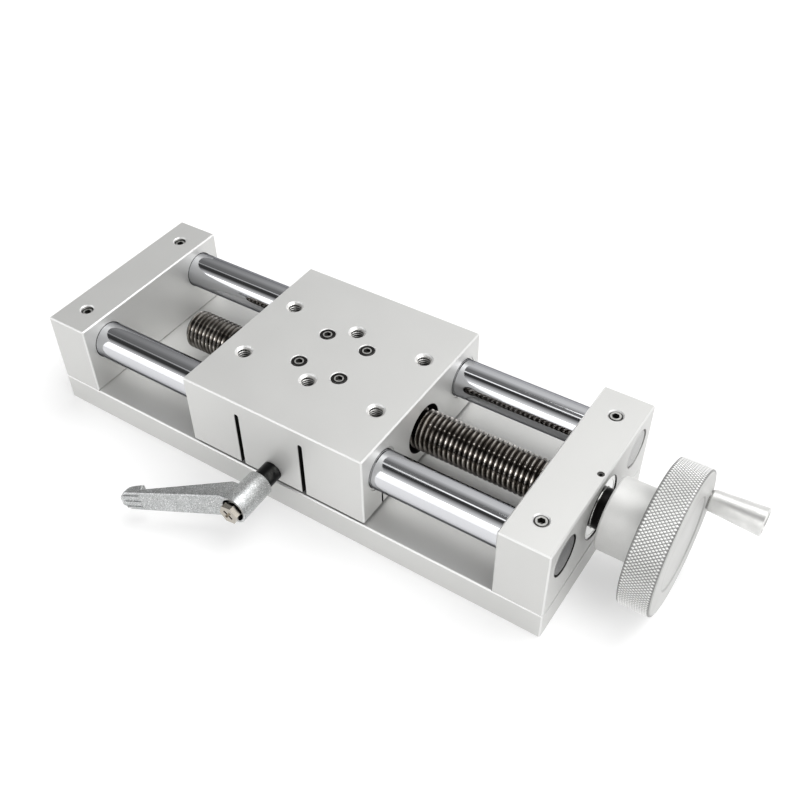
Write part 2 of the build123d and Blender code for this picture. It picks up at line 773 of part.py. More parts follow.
with BuildPart() as clamp_lever:
    with BuildSketch(side_plane):
        Polygon(*side_profile, align=None)
    extrude(amount=lever_root_width / 2, both=True)
    with BuildSketch(clamp_plane):
        with BuildLine():
            Polyline(
                (0, -lever_root_width / 2),
                (lever_reach, -lever_tip_width / 2),
                (lever_reach, lever_tip_width / 2),
                (0, lever_root_width / 2),
                close=True,
            )
        outline = make_face()
        fillet(outline.vertices().sort_by(Axis.X)[-2:], lever_tip_radius)
    extrude(amount=arm_tip + lever_hub_length, mode=Mode.INTERSECT)
    fillet(clamp_lever.edges().filter_by(on_arm_side), lever_edge_radius)
    with BuildSketch(Plane(origin=ridge_root_centre, x_dir=face_direction, z_dir=face_normal)):
        with GridLocations(0, grip_ridge_spacing, 1, 3):
            Rectangle(grip_ridge_length + ridge_spread, grip_ridge_width + ridge_spread)
    extrude(amount=grip_ridge_root + grip_ridge_height, taper=grip_ridge_taper)
    with BuildSketch(side_plane):
        Polygon(
            (0, hub_back),
            (lever_hub_back_diameter / 2, hub_back),
            (lever_hub_front_diameter / 2, hub_front),
            (0, hub_front),
            align=None,
        )
    revolve(axis=Axis(clamp_plane.origin, clamp_plane.z_dir))
    with BuildSketch(clamp_plane.offset(hub_back)):
        Polygon(*star(spline_radius + spline_clearance, spline_depth), align=None)
    extrude(amount=web_back - hub_back, mode=Mode.SUBTRACT)
    with BuildSketch(clamp_plane.offset(hub_back)):
        Circle(lever_screw_shoulder / 2 + running_gap)
    extrude(amount=lever_hub_length, mode=Mode.SUBTRACT)
    with BuildSketch(clamp_plane.offset(web_front)):
        Circle(lever_recess_diameter / 2)
    extrude(amount=lever_reach, mode=Mode.SUBTRACT)
save(clamp_lever, "clamp_lever")

# Shoulder screw with a hexagon head and a cross recess, which keeps the lever and spring.
head_underside = hub_front - running_gap
head_front = head_underside + lever_screw_head
with BuildPart() as lever_screw:
    with BuildSketch(clamp_plane.offset(stud_end)):
        Circle(lever_screw_shoulder / 2)
    extrude(amount=head_underside - stud_end)
    with BuildSketch(clamp_plane.offset(stud_end)):
        Circle(lever_screw_thread / 2 - thread_gap)
    extrude(amount=-lever_screw_thread_length)
    with BuildSketch(clamp_plane.offset(head_underside)):
        RegularPolygon(radius=lever_screw_hex / 2, side_count=6, major_radius=False)
    extrude(amount=lever_screw_head)
    with BuildSketch(clamp_plane.offset(head_front)):
        Rectangle(cross_length, cross_width, rotation=cross_turn)
        Rectangle(cross_width, cross_length, rotation=cross_turn)
    extrude(amount=-cross_depth, mode=Mode.SUBTRACT)
save(lever_screw, "lever_screw")

# Compression spring between the lever's web and the screw's head.
spring_start = web_front + spring_wire / 2 + running_gap
spring_height = head_underside - spring_wire / 2 - running_gap - spring_start
coil = Helix(
    pitch=spring_height / spring_turns,
    height=spring_height,
    radius=spring_radius,
)
coil = clamp_plane.offset(spring_start).location * coil
with BuildPart() as lever_spring:
    with BuildSketch(Plane(origin=coil @ 0, z_dir=coil % 0)):
        Circle(spring_wire / 2)
    sweep(path=coil, is_frenet=True)
save(lever_spring, "lever_spring")
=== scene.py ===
from math import cos, pi, radians, sin

import bmesh
import bpy
from mathutils import Matrix, Vector


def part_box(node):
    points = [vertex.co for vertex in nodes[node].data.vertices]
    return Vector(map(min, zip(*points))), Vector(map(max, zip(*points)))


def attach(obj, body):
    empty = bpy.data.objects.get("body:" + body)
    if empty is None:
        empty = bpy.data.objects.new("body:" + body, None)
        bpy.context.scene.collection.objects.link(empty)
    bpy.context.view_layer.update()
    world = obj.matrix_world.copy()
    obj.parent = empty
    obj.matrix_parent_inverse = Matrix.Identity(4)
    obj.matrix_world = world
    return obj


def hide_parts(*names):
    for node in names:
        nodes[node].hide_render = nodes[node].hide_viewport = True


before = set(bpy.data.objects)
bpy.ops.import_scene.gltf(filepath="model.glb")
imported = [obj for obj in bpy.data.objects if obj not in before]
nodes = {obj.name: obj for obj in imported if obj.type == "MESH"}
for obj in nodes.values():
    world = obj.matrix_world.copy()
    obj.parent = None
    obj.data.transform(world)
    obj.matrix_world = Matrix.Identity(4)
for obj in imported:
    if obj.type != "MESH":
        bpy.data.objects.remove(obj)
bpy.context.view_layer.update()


# Base plate and end blocks: three milled bars of aluminium, bead blasted and clear
# anodised. The blocks stand on the plate's ends and are screwed to it from below.

class Wire:
    """The value that leaves a node. Arithmetic on it adds Math nodes to the same tree."""

    def __init__(self, tree, node, output):
        self.tree = tree
        self.node = node
        self.socket = node.outputs[output] if node.outputs else None

    def leaving(self, output):
        """Another output of the same node."""
        return Wire(self.tree, self.node, output)

    def maths(self, operation, *values):
        return self.tree.node("ShaderNodeMath", {"operation": operation}, dict(enumerate(values)))

    def __add__(self, other):
        return self.maths("ADD", self, other)

    def __radd__(self, other):
        return self.maths("ADD", other, self)

    def __sub__(self, other):
        return self.maths("SUBTRACT", self, other)

    def __rsub__(self, other):
        return self.maths("SUBTRACT", other, self)

    def __mul__(self, other):
        return self.maths("MULTIPLY", self, other)

    def __rmul__(self, other):
        return self.maths("MULTIPLY", other, self)

    def __truediv__(self, other):
        return self.maths("DIVIDE", self, other)

    def __mod__(self, other):
        return self.maths("MODULO", self, other)

    def __gt__(self, other):
        return self.maths("GREATER_THAN", self, other)

    def __lt__(self, other):
        return self.maths("LESS_THAN", self, other)

    def __abs__(self):
        return self.maths("ABSOLUTE", self)

    def at_most(self, other):
        return self.maths("MINIMUM", self, other)

    def at_least(self, other):
        return self.maths("MAXIMUM", self, other)

    def ramp(self, low, high, start=0.0, end=1.0):
        """Goes from start to end while this value goes from low to high, and stays there."""
        values = {"Value": self, 1: low, 2: high, 3: start, 4: end}
        return self.tree.node("ShaderNodeMapRange", {}, values)


class Tree:
    """A node tree, for a material, the world or a piece's geometry."""

    def __init__(self, tree):
        self.tree = tree
        tree.nodes.clear()

    def node(self, kind, settings=None, sockets=None, output=0):
        """Add one node: its settings first, then the values or wires of its sockets."""
        node = self.tree.nodes.new(kind)
        for name, value in (settings or {}).items():
            setattr(node, name, value)
        for key, value in (sockets or {}).items():
            for single in value if isinstance(value, list) else [value]:
                if isinstance(single, Wire):
                    self.tree.links.new(single.socket, node.inputs[key])
                else:
                    node.inputs[key].default_value = single
        return Wire(self, node, output)

    def parts(self, vector):
        """The X, Y and Z of a vector."""
        split = self.node("ShaderNodeSeparateXYZ", {}, {0: vector})
        return split, split.leaving("Y"), split.leaving("Z")

    def vector(self, x, y, z):
        return self.node("ShaderNodeCombineXYZ", {}, {0: x, 1: y, 2: z})

    def distance(self, first, second):
        """The length of the line whose two sides are given."""
        return (first * first + second * second).maths("SQRT", first * first + second * second)

    def noise(self, place, scale, detail=2.0, stretch=(1.0, 1.0, 1.0)):
        """Noise with so many grains to the metre, stretched along the small numbers' axes."""
        place = self.node("ShaderNodeMapping", {}, {"Vector": place, "Scale": stretch})
        grains = {"Vector": place, "Scale": scale, "Detail": detail}
        return self.node("ShaderNodeTexNoise", {}, grains)

    def mixed(self, share, first, second):
        """Two colours mixed by a share that runs from 0 to 1."""
        colours = {0: share, 6: first, 7: second}
        return self.node("ShaderNodeMix", {"data_type": "RGBA"}, colours, 2)

    def relief(self, height, depth):
        """A normal with the given height map, depth metres deep."""
        return self.node("ShaderNodeBump", {}, {"Height": height, "Distance": depth})

    def place(self):
        return self.node("ShaderNodeTexCoord", output="Object")


class Finish(Tree):
    """A material made of one metal, plastic or rubber surface."""

    def __init__(self, name):
        self.material = bpy.data.materials.new(name)
        self.material.use_nodes = True
        super().__init__(self.material.node_tree)

    def surface(self, **sockets):
        named = {name.replace("_", " ").title(): value for name, value in sockets.items()}
        shader = self.node("ShaderNodeBsdfPrincipled", {}, named)
        self.node("ShaderNodeOutputMaterial", {}, {"Surface": shader})
        return self.material


def tone(red, green, blue):
    """A screen colour of 0 to 255 as the linear colour that a shader takes."""
    return tuple((part / 255) ** 2.2 for part in (red, green, blue)) + (1.0,)


def shaded(colour, share):
    """The same colour, darker or lighter."""
    return tuple(min(1.0, part * share) for part in colour[:3]) + (1.0,)


def broken_edge(finish):
    """1 on chamfers and round corners, 0 on the faces that lie square to the axes."""
    x, y, z = finish.parts(finish.node("ShaderNodeNewGeometry", output="True Normal"))
    return abs(x).at_least(abs(y)).at_least(abs(z)).ramp(0.80, 0.97, 1.0, 0.0)


def satin_aluminium(name, colour, roughness, dark_places):
    """Blasted and anodised: a fine grain, faint clouds, chamfers painted paler, partly as wear
    and partly as a painted highlight, that also shine a little more, and painted shade in the
    bores and cuts, with dark lines at the joints, that the function dark_places finds."""
    finish = Finish(name)
    place = finish.place()
    grain = finish.noise(place, 2600.0, 3.0)
    cloud = finish.noise(place, 45.0, 4.0)
    cutter = finish.noise(place, 900.0, 2.0, (0.06, 1.0, 1.0))
    edge = broken_edge(finish)
    shade = (cloud - 0.5) * 0.16 + (grain - 0.5) * 0.10
    body = finish.mixed((shade + 0.5).ramp(0.0, 1.0), shaded(colour, 0.88), shaded(colour, 1.12))
    # Chamfers painted paler: partly wear, partly a painted highlight.
    body = finish.mixed(edge * 0.45, body, tone(248, 248, 248))
    # Painted shade in holes, cuts and under faces, and dark lines at the joints, from
    # dark_places.
    painted_shade_and_seams = dark_places(finish, *finish.parts(place))
    return finish.surface(
        base_color=finish.mixed(painted_shade_and_seams, body, tone(44, 43, 42)),
        metallic=0.55,
        roughness=roughness + (cloud - 0.5) * 0.10 - edge * 0.10,
        normal=finish.relief(grain * 0.75 + cutter * 0.25, 0.000012),
    )


def dress(finish, *names):
    """Give a finish to nodes of the frame."""
    for name in names:
        nodes[name].data.materials.clear()
        nodes[name].data.materials.append(finish)


def centre(name):
    """The middle of a node's box."""
    low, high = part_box(name)
    return [(first + second) / 2 for first, second in zip(low, high)]


rod_side, rod_height = centre("back_rod_bushings")[1:]
rod_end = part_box("back_guide_rod")[1][0]
rod_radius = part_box("back_guide_rod")[1][2] - rod_height
screw_height = centre("lead_screw")[2]
bearing_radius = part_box("bearing_outer_rings")[1][2] - screw_height
block_middle = centre("right_end_block")[0]
block_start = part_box("right_end_block")[0][0]
block_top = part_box("right_end_block")[1][2]
plate_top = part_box("base_plate")[1][2]
lock_screw_place = centre("bearing_lock_screw")[0]
lock_screw_radius = 0.00125
rod_screw_radius = 0.0025
past_wall = 0.00006
bright_mouth = 0.0007


def seam(distance, radius):
    """A dark line where a round piece meets its bore."""
    return (distance > radius - 0.0001) * (distance < radius + 0.0002)


def plate_dark_places(finish, x, y, z):
    """Painted shade down the holes of the set screws and the lock screw, and dark lines at the
    rods, the bearing and the joints. The line is fainter around the back rod's right end."""
    holes = finish.distance(abs(x) - block_middle, abs(y) - rod_side)
    holes = (holes < rod_screw_radius + past_wall) * (z > rod_height)
    holes = holes * (z < block_top - bright_mouth)
    lock_hole = finish.distance(x - lock_screw_place, y) < lock_screw_radius + past_wall
    lock_hole = lock_hole * (z < block_top - 0.0004)
    around_rods = seam(finish.distance(abs(y) - rod_side, z - rod_height), rod_radius)
    around_rods = around_rods * (1 - (x > block_start) * (y > 0.0) * 0.6)
    around_bearing = seam(finish.distance(y, z - screw_height), bearing_radius)
    around_bearing = around_bearing * (x > block_start)
    flat = abs(finish.parts(finish.node("ShaderNodeNewGeometry", output="True Normal"))[2])
    joints = (abs(z - plate_top) < 0.00012) * (abs(x) > block_start - 0.0002) * (flat < 0.9)
    dark = holes.at_least(lock_hole).at_least(around_rods)
    return dark.at_least(around_bearing).at_least(joints)


plate_aluminium = satin_aluminium("plate_aluminium", tone(213, 213, 211), 0.44, plate_dark_places)
dress(plate_aluminium, "base_plate", "left_end_block", "right_end_block")


# Socket screws: the cap screws under the blocks, the set screws over the rods and the small one
# over the bearings. Steel with a black oxide finish, worn brighter around the sockets, with a
# painted glint on the sockets' floors.

def black_oxide(name, colour, roughness, face=None, ring=0.0, middle=None):
    """Black steel. The face around a socket, at the height of face, has a ring worn bright out to
    the radius of ring, and the socket's floor is painted bright as a painted glint. The function
    middle gives the two distances from the nearest screw's middle."""
    finish = Finish(name)
    place = finish.place()
    grain = finish.noise(place, 3500.0)
    patch = finish.noise(place, 420.0, 3.0)
    worn = broken_edge(finish) * patch.ramp(0.35, 0.65)
    body = finish.mixed(worn * 0.5, colour, tone(120, 120, 118))
    if middle:
        x, y, z = finish.parts(place)
        radius = finish.distance(*middle(x, y))
        rubbed_ring_and_glint = (radius < ring) * (radius > ring - 0.0008) * (abs(z - face) < 0.00008)
        # Painted glint: the socket's floor is painted bright.
        rubbed_ring_and_glint = rubbed_ring_and_glint.at_least((radius < 0.0011) * (z < face - 0.0006))
        bright = finish.mixed(patch, tone(150, 150, 147), tone(218, 218, 215))
        body = finish.mixed(rubbed_ring_and_glint, body, bright)
    return finish.surface(
        base_color=body,
        metallic=0.85,
        roughness=roughness + patch * 0.16,
        normal=finish.relief(grain, 0.000006),
    )


dress(black_oxide("screw_black", tone(62, 61, 60), 0.26), "block_screws", "wheel_grub_screws")


def over_rods(x, y):
    return abs(x) - block_middle, abs(y) - rod_side


for screws in ("left_rod_grub_screws", "right_rod_grub_screws"):
    black = black_oxide(
        screws + "_black",
        tone(58, 57, 56),
        0.26,
        face=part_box(screws)[1][2],
        ring=0.0020,
        middle=over_rods,
    )
    dress(black, screws)
dress(black_oxide("lock_screw_black", tone(96, 95, 93), 0.26), "bearing_lock_screw")


# Guide rods: hardened steel bars, ground and hard chromed to a mirror, with the faint rings
# that the grinding wheel leaves around them.

def ground_chrome(name, colour):
    """A mirror around the bar, darker where it is seen at a slant, and dull turned ends, of which
    the back rod's is made the palest by a lower metallic, as painted light."""
    finish = Finish(name)
    place = finish.place()
    x, y, z = finish.parts(place)
    radius = finish.distance(abs(y) - rod_side, z - rod_height)
    end = abs(x) > rod_end - 0.0006
    rings = finish.noise(place, 5200.0, 2.0, (1.0, 0.02, 0.02))
    faced = finish.noise(finish.vector(radius, 0.0, 0.0), 1500.0, 2.0)
    wiped = finish.noise(place, 140.0, 4.0, (0.25, 1.0, 1.0))
    turned_end = finish.mixed(faced, tone(188, 188, 186), tone(252, 252, 250))
    return finish.surface(
        base_color=finish.mixed(end, colour, turned_end),
        # Painted light: only the back rod's end is less metallic, so that it reads paler.
        metallic=1.0 - end * 0.6 * (y > 0.0),
        specular_tint=(0.15, 0.15, 0.17, 1.0),
        roughness=0.06 + wiped.ramp(0.45, 0.8) * 0.10 + end * 0.30,
        normal=finish.relief(rings + end * faced * 8.0, 0.0000006),
    )


rod_chrome = ground_chrome("rod_chrome", tone(207, 208, 211))
dress(rod_chrome, "front_guide_rod", "back_guide_rod")


# Ball bearings: ground steel rings and balls, a moulded cage, and pressed steel shields that
# show between the right block and the handwheel's hub.

def plain_metal(name, colour, roughness, grain_depth=0.000004):
    finish = Finish(name)
    place = finish.place()
    grain = finish.noise(place, 2400.0)
    patch = finish.noise(place, 160.0, 3.0)
    return finish.surface(
        base_color=finish.mixed(patch.ramp(0.3, 0.7), colour, shaded(colour, 0.86)),
        metallic=1.0,
        roughness=roughness + patch * 0.08,
        normal=finish.relief(grain, grain_depth),
    )


def plain_moulding(name, colour, roughness):
    finish = Finish(name)
    grain = finish.noise(finish.place(), 1800.0)
    return finish.surface(
        base_color=finish.mixed(grain, shaded(colour, 0.8), shaded(colour, 1.2)),
        roughness=roughness + grain * 0.10,
        normal=finish.relief(grain, 0.00001),
    )


ring_steel = plain_metal("bearing_ring_steel", tone(214, 214, 212), 0.12)
dress(ring_steel, "bearing_outer_rings", "bearing_inner_rings")
dress(plain_metal("ball_steel", tone(222, 222, 222), 0.05, 0.0000005), "bearing_balls")
dress(plain_moulding("cage_nylon", tone(150, 146, 132), 0.45), "bearing_cages")
dress(plain_metal("shield_steel", tone(226, 226, 224), 0.07, 0.000001), "bearing_shields")


# Lead screw: a rolled steel thread of 2 mm pitch with its helix, on a core that runs on as the
# shoulder and the journal for the bearings and the wheel. Dark, oiled, bright crests, with
# painted shade on the crests that face down.

screw_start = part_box("lead_screw")[0][0]
thread_end = 0.0966
shoulder_end = 0.0987
shoulder_radius = 0.0066
journal_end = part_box("lead_screw")[1][0]
journal_radius = 0.006
thread_root = 0.00685
thread_height = 0.00115
thread_pitch = 0.002
mouth_radius = 0.00678


def input_socket(group, name, kind, value):
    """Name one size of a piece's geometry and give it its usual value."""
    socket = group.interface.new_socket(name, in_out="INPUT", socket_type="NodeSocket" + kind)
    if value is not None:
        socket.default_value = value


def closed_in(mesh, crease=35.0):
    """Turn all faces outwards and shade them smooth, apart from creases of so many degrees."""
    work = bmesh.new()
    work.from_mesh(mesh)
    bmesh.ops.recalc_face_normals(work, faces=work.faces)
    work.to_mesh(mesh)
    work.free()
    mesh.shade_smooth()
    mesh.set_sharp_from_angle(angle=radians(crease))


def turned(name, outline, height, across=0.0, segments=96):
    """Turn an outline of (place along X, radius) points about a line along X."""
    work = bmesh.new()
    rings = []
    for along, radius in outline:
        count = segments if radius else 1
        angles = [2 * pi * step / count for step in range(count)]
        places = [(along, across + radius * sin(a), height + radius * cos(a)) for a in angles]
        rings.append([work.verts.new(place) for place in places])
    for first, second in zip(rings, rings[1:]):
        for step in range(segments):
            after = (step + 1) % segments
            corners = [first[step % len(first)], first[after % len(first)]]
            corners += [second[after % len(second)], second[step % len(second)]]
            work.faces.new(list(dict.fromkeys(corners)))
    mesh = bpy.data.meshes.new(name)
    work.to_mesh(mesh)
    work.free()
    piece = bpy.data.objects.new(name, mesh)
    bpy.context.collection.objects.link(piece)
    return piece


def grown(name, group, body=None, **sizes):
    """Run a geometry group with the given sizes and keep the result as a plain mesh."""
    piece = body or bpy.data.objects.new(name, bpy.data.meshes.new(name))
    if body is None:
        bpy.context.collection.objects.link(piece)
    modifier = piece.modifiers.new(name, "NODES")
    modifier.node_group = group
    for item in group.interface.items_tree:
        key = item.name.lower().replace(" ", "_")
        if key in sizes:
            modifier[item.identifier] = sizes[key]
    finished = piece.evaluated_get(bpy.context.evaluated_depsgraph_get())
    mesh = bpy.data.meshes.new_from_object(finished)
    piece.modifiers.clear()
    piece.data = mesh
    mesh.materials.pop(index=0)
    mesh.name = name
    closed_in(mesh)
    return piece


def settled(piece, body, slot, *replaced):
    """Put a finished piece on its body and hide the nodes it stands for. The slot is not used."""
    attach(piece, body)
    if replaced:
        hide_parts(*replaced)


def thread_group():
    """A ridge of trapezium section wound right-handed along Z, copied to a grid of places.

    It is held within the given length, and near its start within a 45 degree cone. A ring
    of the same section at the given height can stand for the lip that a countersink leaves.
    """
    group = bpy.data.node_groups.new("thread", "GeometryNodeTree")
    tree = Tree(group)
    input_socket(group, "Body", "Geometry", None)
    for name, kind, value in (
        ("Inner Radius", "Float", 0.0025),
        ("Height", "Float", 0.0005),
        ("Inner Width", "Float", 0.0002),
        ("Outer Width", "Float", 0.0009),
        ("Pitch", "Float", 0.001),
        ("Turns", "Float", 9.0),
        ("Steps", "Int", 48),
        ("Run Out", "Float", 0.5),
        ("Lead In", "Float", 0.0),
        ("Length", "Float", 1.0),
        ("Mouth Radius", "Float", 1.0),
        ("Lip", "Bool", False),
        ("Lip Height", "Float", 0.0),
        ("Columns", "Int", 1),
        ("Rows", "Int", 1),
        ("Column Spacing", "Float", 0.0),
        ("Row Spacing", "Float", 0.0),
        ("Place", "Vector", (0.0, 0.0, 0.0)),
        ("Turn", "Vector", (0.0, 0.0, 0.0)),
        ("Finish", "Material", None),
    ):
        input_socket(group, name, kind, value)
    group.interface.new_socket("Result", in_out="OUTPUT", socket_type="NodeSocketGeometry")
    given = tree.node("NodeGroupInput", output="Inner Radius")
    middle = given + given.leaving("Height") * 0.5
    turns = given.leaving("Turns")
    spiral = {"Resolution": given.leaving("Steps"), "Rotations": turns, "Reverse": True}
    spiral.update({"Start Radius": middle, "End Radius": middle})
    spiral["Height"] = turns * given.leaving("Pitch")
    path = tree.node("GeometryNodeCurveSpiral", {}, spiral)
    path = tree.node("GeometryNodeSetCurveNormal", {"mode": "Z_UP"}, {"Curve": path})
    section = {"Height": given.leaving("Height"), "Offset": 0.0}
    section["Bottom Width"] = given.leaving("Inner Width")
    section["Top Width"] = given.leaving("Outer Width")
    section = tree.node("GeometryNodeCurvePrimitiveQuadrilateral", {"mode": "TRAPEZOID"}, section)
    upright = {"Geometry": section, "Rotation": (0.0, 0.0, -pi / 2)}
    section = tree.node("GeometryNodeTransform", {}, upright)
    along = tree.node("GeometryNodeSplineParameter") * turns
    swell = (along.at_most(turns - along) / given.leaving("Run Out")).at_most(1.0)
    wound = {"Curve": path, "Profile Curve": section, "Scale": swell, "Fill Caps": True}
    ridge = tree.node("GeometryNodeCurveToMesh", {}, wound)
    x, y, z = tree.parts(tree.node("GeometryNodeInputPosition"))
    z = (z - given.leaving("Lead In")).at_least(0.0).at_most(given.leaving("Length"))
    radius = tree.distance(x, y)
    held = radius.at_most(given.leaving("Mouth Radius") + z) / radius
    moved = {"Geometry": ridge, "Position": tree.vector(x * held, y * held, z)}
    ridge = tree.node("GeometryNodeSetPosition", {}, moved)
    circle = {"Resolution": given.leaving("Steps"), "Radius": middle}
    circle = tree.node("GeometryNodeCurvePrimitiveCircle", {}, circle)
    circle = tree.node("GeometryNodeSetCurveNormal", {"mode": "Z_UP"}, {"Curve": circle})
    lip = tree.node("GeometryNodeCurveToMesh", {}, {"Curve": circle, "Profile Curve": section})
    raised = tree.vector(0.0, 0.0, given.leaving("Lip Height"))
    lip = tree.node("GeometryNodeTransform", {}, {"Geometry": lip, "Translation": raised})
    lip = tree.node(
        "GeometryNodeSwitch",
        {"input_type": "GEOMETRY"},
        {"Switch": given.leaving("Lip"), "True": lip},
    )
    ridge = tree.node("GeometryNodeJoinGeometry", {}, {0: [ridge, lip]})
    columns = given.leaving("Columns")
    rows = given.leaving("Rows")
    grid = {"Vertices X": columns, "Vertices Y": rows}
    grid["Size X"] = given.leaving("Column Spacing") * (columns - 1)
    grid["Size Y"] = given.leaving("Row Spacing") * (rows - 1)
    places = tree.node("GeometryNodeMeshGrid", {}, grid)
    copies = tree.node("GeometryNodeInstanceOnPoints", {}, {"Points": places, "Instance": ridge})
    moved = {"Geometry": copies, "Translation": given.leaving("Place")}
    moved["Rotation"] = given.leaving("Turn")
    copies = tree.node("GeometryNodeTransform", {}, moved)
    solid = tree.node("GeometryNodeRealizeInstances", {}, {0: copies})
    solid = tree.node("GeometryNodeJoinGeometry", {}, {0: [given.leaving("Body"), solid]})
    painted = {"Geometry": solid, "Material": given.leaving("Finish")}
    tree.node("NodeGroupOutput", {}, {0: tree.node("GeometryNodeSetMaterial", {}, painted)})
    return group


def oiled_thread(name):
    """Steel that is dark and oiled in the thread's roots and worn bright on its crests, with
    painted shade that darkens the crests facing down.
    """
    finish = Finish(name)
    place = finish.place()
    x, y, z = finish.parts(place)
    radius = finish.distance(y, z - screw_height)
    crest_and_painted_shade = radius.ramp(thread_root + 0.35 * thread_height, thread_root + 0.85 * thread_height)
    patch = finish.noise(place, 260.0, 3.0)
    grain = finish.noise(place, 3000.0)
    steel = finish.mixed(patch.ramp(0.35, 0.65), tone(136, 131, 125), tone(214, 209, 203))
    # Painted shade: crests that face down are painted darker, those facing up keep their bright
    # colour.
    up = finish.parts(finish.node("ShaderNodeNewGeometry", output="True Normal"))[2]
    crest_and_painted_shade = crest_and_painted_shade * up.ramp(-0.35, 0.35, 0.30, 1.0)
    return finish.surface(
        base_color=finish.mixed(crest_and_painted_shade, tone(82, 77, 72), steel),
        metallic=1.0,
        roughness=0.20 - crest_and_painted_shade * 0.10 + patch * 0.04,
        normal=finish.relief(grain, 0.000004),
    )


thread = thread_group()
screw_outline = [
    (screw_start, 0.0),
    (screw_start, mouth_radius),
    (screw_start + thread_root - mouth_radius, thread_root),
    (thread_end, thread_root),
    (thread_end, shoulder_radius),
    (shoulder_end, shoulder_radius),
    (shoulder_end, journal_radius),
    (journal_end, journal_radius),
    (journal_end, 0.0),
]
thread_length = thread_end - screw_start
lead_screw = grown(
    "lead_screw_turned",
    thread,
    body=turned("lead_screw_turned", screw_outline, screw_height),
    inner_radius=thread_root,
    height=thread_height,
    inner_width=0.00186,
    outer_width=0.00045,
    pitch=thread_pitch,
    turns=thread_length / thread_pitch + 2.0,
    steps=64,
    run_out=0.01,
    lead_in=thread_pitch,
    length=thread_length,
    mouth_radius=mouth_radius,
    place=(screw_start, 0.0, screw_height),
    turn=(0.0, pi / 2, 0.0),
    finish=oiled_thread("oiled_thread"),
)
settled(lead_screw, "screw", "screw_steel", "lead_screw")


# Spacer and handwheel: a collar of black steel and a wheel of turned aluminium, blasted and
# anodised. The diamond knurl stands a third of a millimetre proud of the wheel's rim.

wheel_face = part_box("handwheel")[1][0]
wheel_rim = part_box("handwheel")[1][2] - screw_height
hub_end = 0.1284
dish_line = 0.0169
knurl_start = 0.1288
knurl_width = 0.0109


def turned_satin(name, colour, roughness, painted_light_share):
    """Satin aluminium with the fine rings that a lathe leaves around the screw's line. The
    function given last is 1 where the colour is at its full and falls to 0 where shade is painted
    in, down to about a quarter of the colour."""
    finish = Finish(name)
    place = finish.place()
    x, y, z = finish.parts(place)
    radius = finish.distance(y, z - screw_height)
    rings = finish.noise(finish.vector(radius, x, 0.0), 2400.0, 2.0)
    grain = finish.noise(place, 2600.0, 3.0)
    cloud = finish.noise(place, 60.0, 3.0)
    shade = cloud.ramp(0.3, 0.7, 0.0, 0.7) + grain * 0.3
    body = finish.mixed(shade, shaded(colour, 0.84), shaded(colour, 1.10))
    return finish.surface(
        # Painted light and shade from the function given last.
        base_color=finish.mixed(painted_light_share(x, radius), shaded(colour, 0.26), body),
        metallic=0.25,
        roughness=roughness + (cloud - 0.5) * 0.08,
        normal=finish.relief(rings * 0.55 + grain * 0.45, 0.000012),
    )


def knurl_group():
    """A ring of pyramids on a cylinder along Z: alternate corners of a fine grid are raised."""
    group = bpy.data.node_groups.new("knurl", "GeometryNodeTree")
    tree = Tree(group)
    for name, kind, value in (
        ("Radius", "Float", 0.026),
        ("Inside", "Float", 0.025),
        ("Height", "Float", 0.0003),
        ("Width", "Float", 0.01),
        ("Starts", "Int", 120),
        ("Rows", "Int", 12),
        ("Place", "Vector", (0.0, 0.0, 0.0)),
        ("Turn", "Vector", (0.0, 0.0, 0.0)),
        ("Finish", "Material", None),
    ):
        input_socket(group, name, kind, value)
    group.interface.new_socket("Result", in_out="OUTPUT", socket_type="NodeSocketGeometry")
    given = tree.node("NodeGroupInput", output="Radius")
    rows = given.leaving("Rows")
    around = given.leaving("Starts") * 2
    sheet = {"Vertices X": rows + 4, "Vertices Y": around + 1}
    sheet = tree.node("GeometryNodeMeshGrid", {}, sheet)
    index = tree.node("GeometryNodeInputIndex")
    row = (index / (around + 1)).maths("FLOOR", index / (around + 1))
    step = index % (around + 1)
    raised = (row + step) % 2 * (row > 1.5) * (row < rows + 0.5)
    outside = (row > 0.5) * (row < rows + 1.5)
    radius = outside * (given + raised * given.leaving("Height"))
    radius = radius + (1 - outside) * given.leaving("Inside")
    along = ((row - 1) / rows).at_least(0.0).at_most(1.0) * (row < rows + 2.5)
    angle = step / around * (2 * pi)
    wrapped = tree.vector(
        radius * angle.maths("COSINE", angle),
        radius * angle.maths("SINE", angle),
        along * given.leaving("Width"),
    )
    ring = tree.node("GeometryNodeSetPosition", {}, {"Geometry": sheet, "Position": wrapped})
    ring = tree.node("GeometryNodeMergeByDistance", {}, {"Geometry": ring, "Distance": 0.00001})
    ring = tree.node("GeometryNodeTriangulate", {}, {"Mesh": ring})
    moved = {"Geometry": ring, "Translation": given.leaving("Place")}
    moved["Rotation"] = given.leaving("Turn")
    ring = tree.node("GeometryNodeTransform", {}, moved)
    ring = tree.node("GeometryNodeRealizeInstances", {}, {0: ring})
    painted = {"Geometry": ring, "Material": given.leaving("Finish")}
    tree.node("NodeGroupOutput", {}, {0: tree.node("GeometryNodeSetMaterial", {}, painted)})
    return group


def wheel_painted_light(x, radius):
    """Painted light and shade: brightest on the hub, the face painted darker with a faint painted
    dark line where the dish begins, and the rest of the wheel painted in deep shade.
    """
    face = (x > wheel_face - 0.001) * (1 - (abs(radius - dish_line) < 0.0003) * 0.45)
    return (x < hub_end).at_least(face * 0.60)


dress(turned_satin("wheel_satin", tone(230, 230, 228), 0.46, wheel_painted_light), "handwheel")
